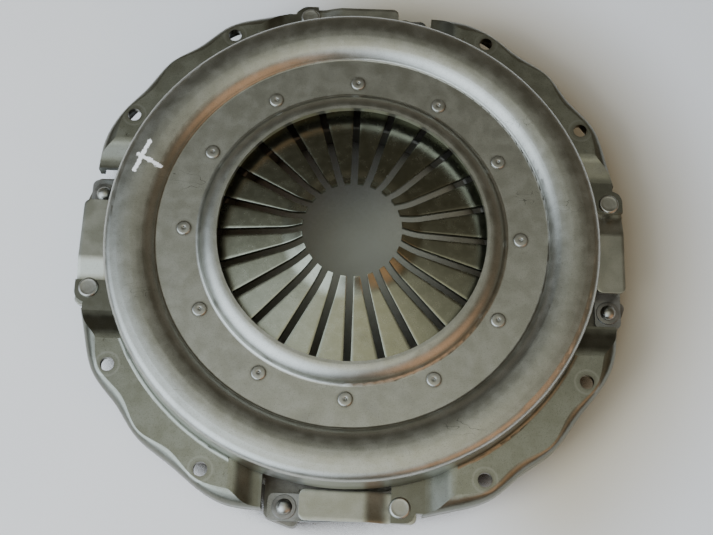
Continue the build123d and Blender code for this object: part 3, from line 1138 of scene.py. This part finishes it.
    def glow(self, web: Web, way: Socket, azimuth: float, elevation: float, inner: float, outer: float) -> Socket:
        """Share of a soft round glow seen in one direction.

        Args:
            web: the world's nodes.
            way: direction looked in.
            azimuth: compass angle of its middle, in degrees from +X.
            elevation: height of its middle, in degrees.
            inner: full strength within this many degrees.
            outer: nothing beyond this many degrees.

        Returns:
            The share, from 0 to 1.
        """
        az, el = math.radians(azimuth), math.radians(elevation)
        middle = (math.cos(el) * math.cos(az), math.cos(el) * math.sin(az), math.sin(el))
        near = web.vector("DOT_PRODUCT", way, middle).outputs["Value"]
        return web.band(near, math.cos(math.radians(outer)), math.cos(math.radians(inner)))

    def sky(self) -> None:
        """Fills the surroundings: dim grey room, broad cool window and warm wooden side."""
        world = bpy.data.worlds.new("surroundings")
        bpy.context.scene.world = world
        world.use_nodes = True
        web = Web(world.node_tree)
        shade = web.node("ShaderNodeBackground")
        web.tree.links.new(shade.outputs[0], web.node("ShaderNodeOutputWorld").inputs[0])
        way = web.node("ShaderNodeTexCoord").outputs["Generated"]
        split = web.node("ShaderNodeSeparateXYZ")
        web.feed(split.inputs[0], way)
        x, y, z = split.outputs
        room = web.mix(web.band(x, -0.8, 0.8), self.left_room, self.right_room)
        far = web.mix(web.band(z, 0.35, 0.75), self.far_room, self.far_top)
        colour = web.mix(web.band(y, -0.2, 0.9), room, far)
        for azimuth, elevation, inner, outer, light in self.glows:
            share = self.glow(web, way, azimuth, elevation, inner, outer)
            colour = web.mix(share, colour, light)
        web.feed(shade.inputs["Color"], colour)
        shade.inputs["Strength"].default_value = self.sky_strength

    def build(self) -> None:
        """Sets the whole studio."""
        self.camera()
        self.floor()
        self.sky()
        self.lamp("fill", (-1.25, -0.86, 1.30), (0, 0, 0), (0.9, 0.9), 30.0, (0.96, 0.98, 1.0), glossy=False)
        log.info("studio set")


# ------------------------------------------------------------------------------ the whole part
CROSS = (((-0.16621, 0.07055), (-0.17586, 0.04545)), ((-0.17395, 0.05872), (-0.15618, 0.04974)))
SQUIGGLES = (
    Squiggle(0.1405, 0.0370, 0.017, 1.2),
    Squiggle(-0.1370, 0.0400, 0.024, 1.9),
    Squiggle(0.0905, -0.1530, 0.020, -0.9),
    Squiggle(-0.0170, -0.1240, 0.009, 0.3),
    Squiggle(0.1700, 0.0270, 0.015, 1.5),
    Squiggle(0.1330, 0.1010, 0.014, 0.6),
    Squiggle(-0.1640, -0.0560, 0.016, 1.9),
)
COVER_FINISH = PressedCover("pressed_cover", (0.43, 0.435, 0.390), (0.495, 0.50, 0.455), (0.20, 0.19, 0.155), 0.32,
                            roughness_spread=0.04, mottle=90.0, stain_amount=0.22, speckle=0.5,
                            squiggles=SQUIGGLES, cross=CROSS)
SPRING_FINISH = SteelFinish("tempered_spring", (0.245, 0.25, 0.19), (0.285, 0.29, 0.225), (0.15, 0.145, 0.105), 0.25,
                            roughness_spread=0.03, mottle=140.0, stain_amount=0.25)
RING_FINISH = SteelFinish("drawn_ring", (0.22, 0.22, 0.21), (0.34, 0.33, 0.31), (0.08, 0.07, 0.06), 0.38)
RIVET_FINISH = SteelFinish("upset_rivet", (0.40, 0.40, 0.36), (0.47, 0.47, 0.43), (0.16, 0.15, 0.13), 0.33,
                           roughness_spread=0.05, mottle=180.0, stain_amount=0.35)
GUARD_FINISH = SteelFinish("guard_plate", (0.38, 0.385, 0.33), (0.46, 0.46, 0.40), (0.15, 0.14, 0.11), 0.34,
                           roughness_spread=0.05, stain_amount=0.3)
LEAF_FINISH = SteelFinish("spring_leaf", (0.26, 0.27, 0.27), (0.38, 0.38, 0.37), (0.10, 0.09, 0.08), 0.33)
IRON_FINISH = SteelFinish("cast_iron", (0.17, 0.165, 0.14), (0.25, 0.24, 0.20), (0.07, 0.06, 0.05), 0.5,
                          metallic=0.8, lump_bump=0.5)


def carry_over(nodes: dict[str, bpy.types.Object]) -> None:
    """Dresses the solids that stay as they are.

    Args:
        nodes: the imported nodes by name.
    """
    for name, finish in (("cover", COVER_FINISH), ("upper_fulcrum_ring", RING_FINISH),
                         ("lower_fulcrum_ring", RING_FINISH), ("pressure_plate", IRON_FINISH)):
        node = nodes[name]
        material = bpy.data.materials.get(finish.name) or finish.build()
        node.data.materials.clear()
        node.data.materials.append(material)
        log.info("carried over: %s", name)


def main() -> None:
    """Builds the looks round the frame."""
    logging.basicConfig(level=logging.INFO, format="%(message)s")
    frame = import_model()
    Studio().build()
    carry_over(frame["nodes"])
    array = RingArray()
    rivet = RIVET_FINISH.build()
    DiaphragmSpring().build(array, SPRING_FINISH.build())
    FulcrumRivets().build(array, rivet)
    StrapSet().build(array, LEAF_FINISH.build(), GUARD_FINISH.build(), rivet, bpy.data.materials["drawn_ring"])


if __name__ == "__main__":
    main()
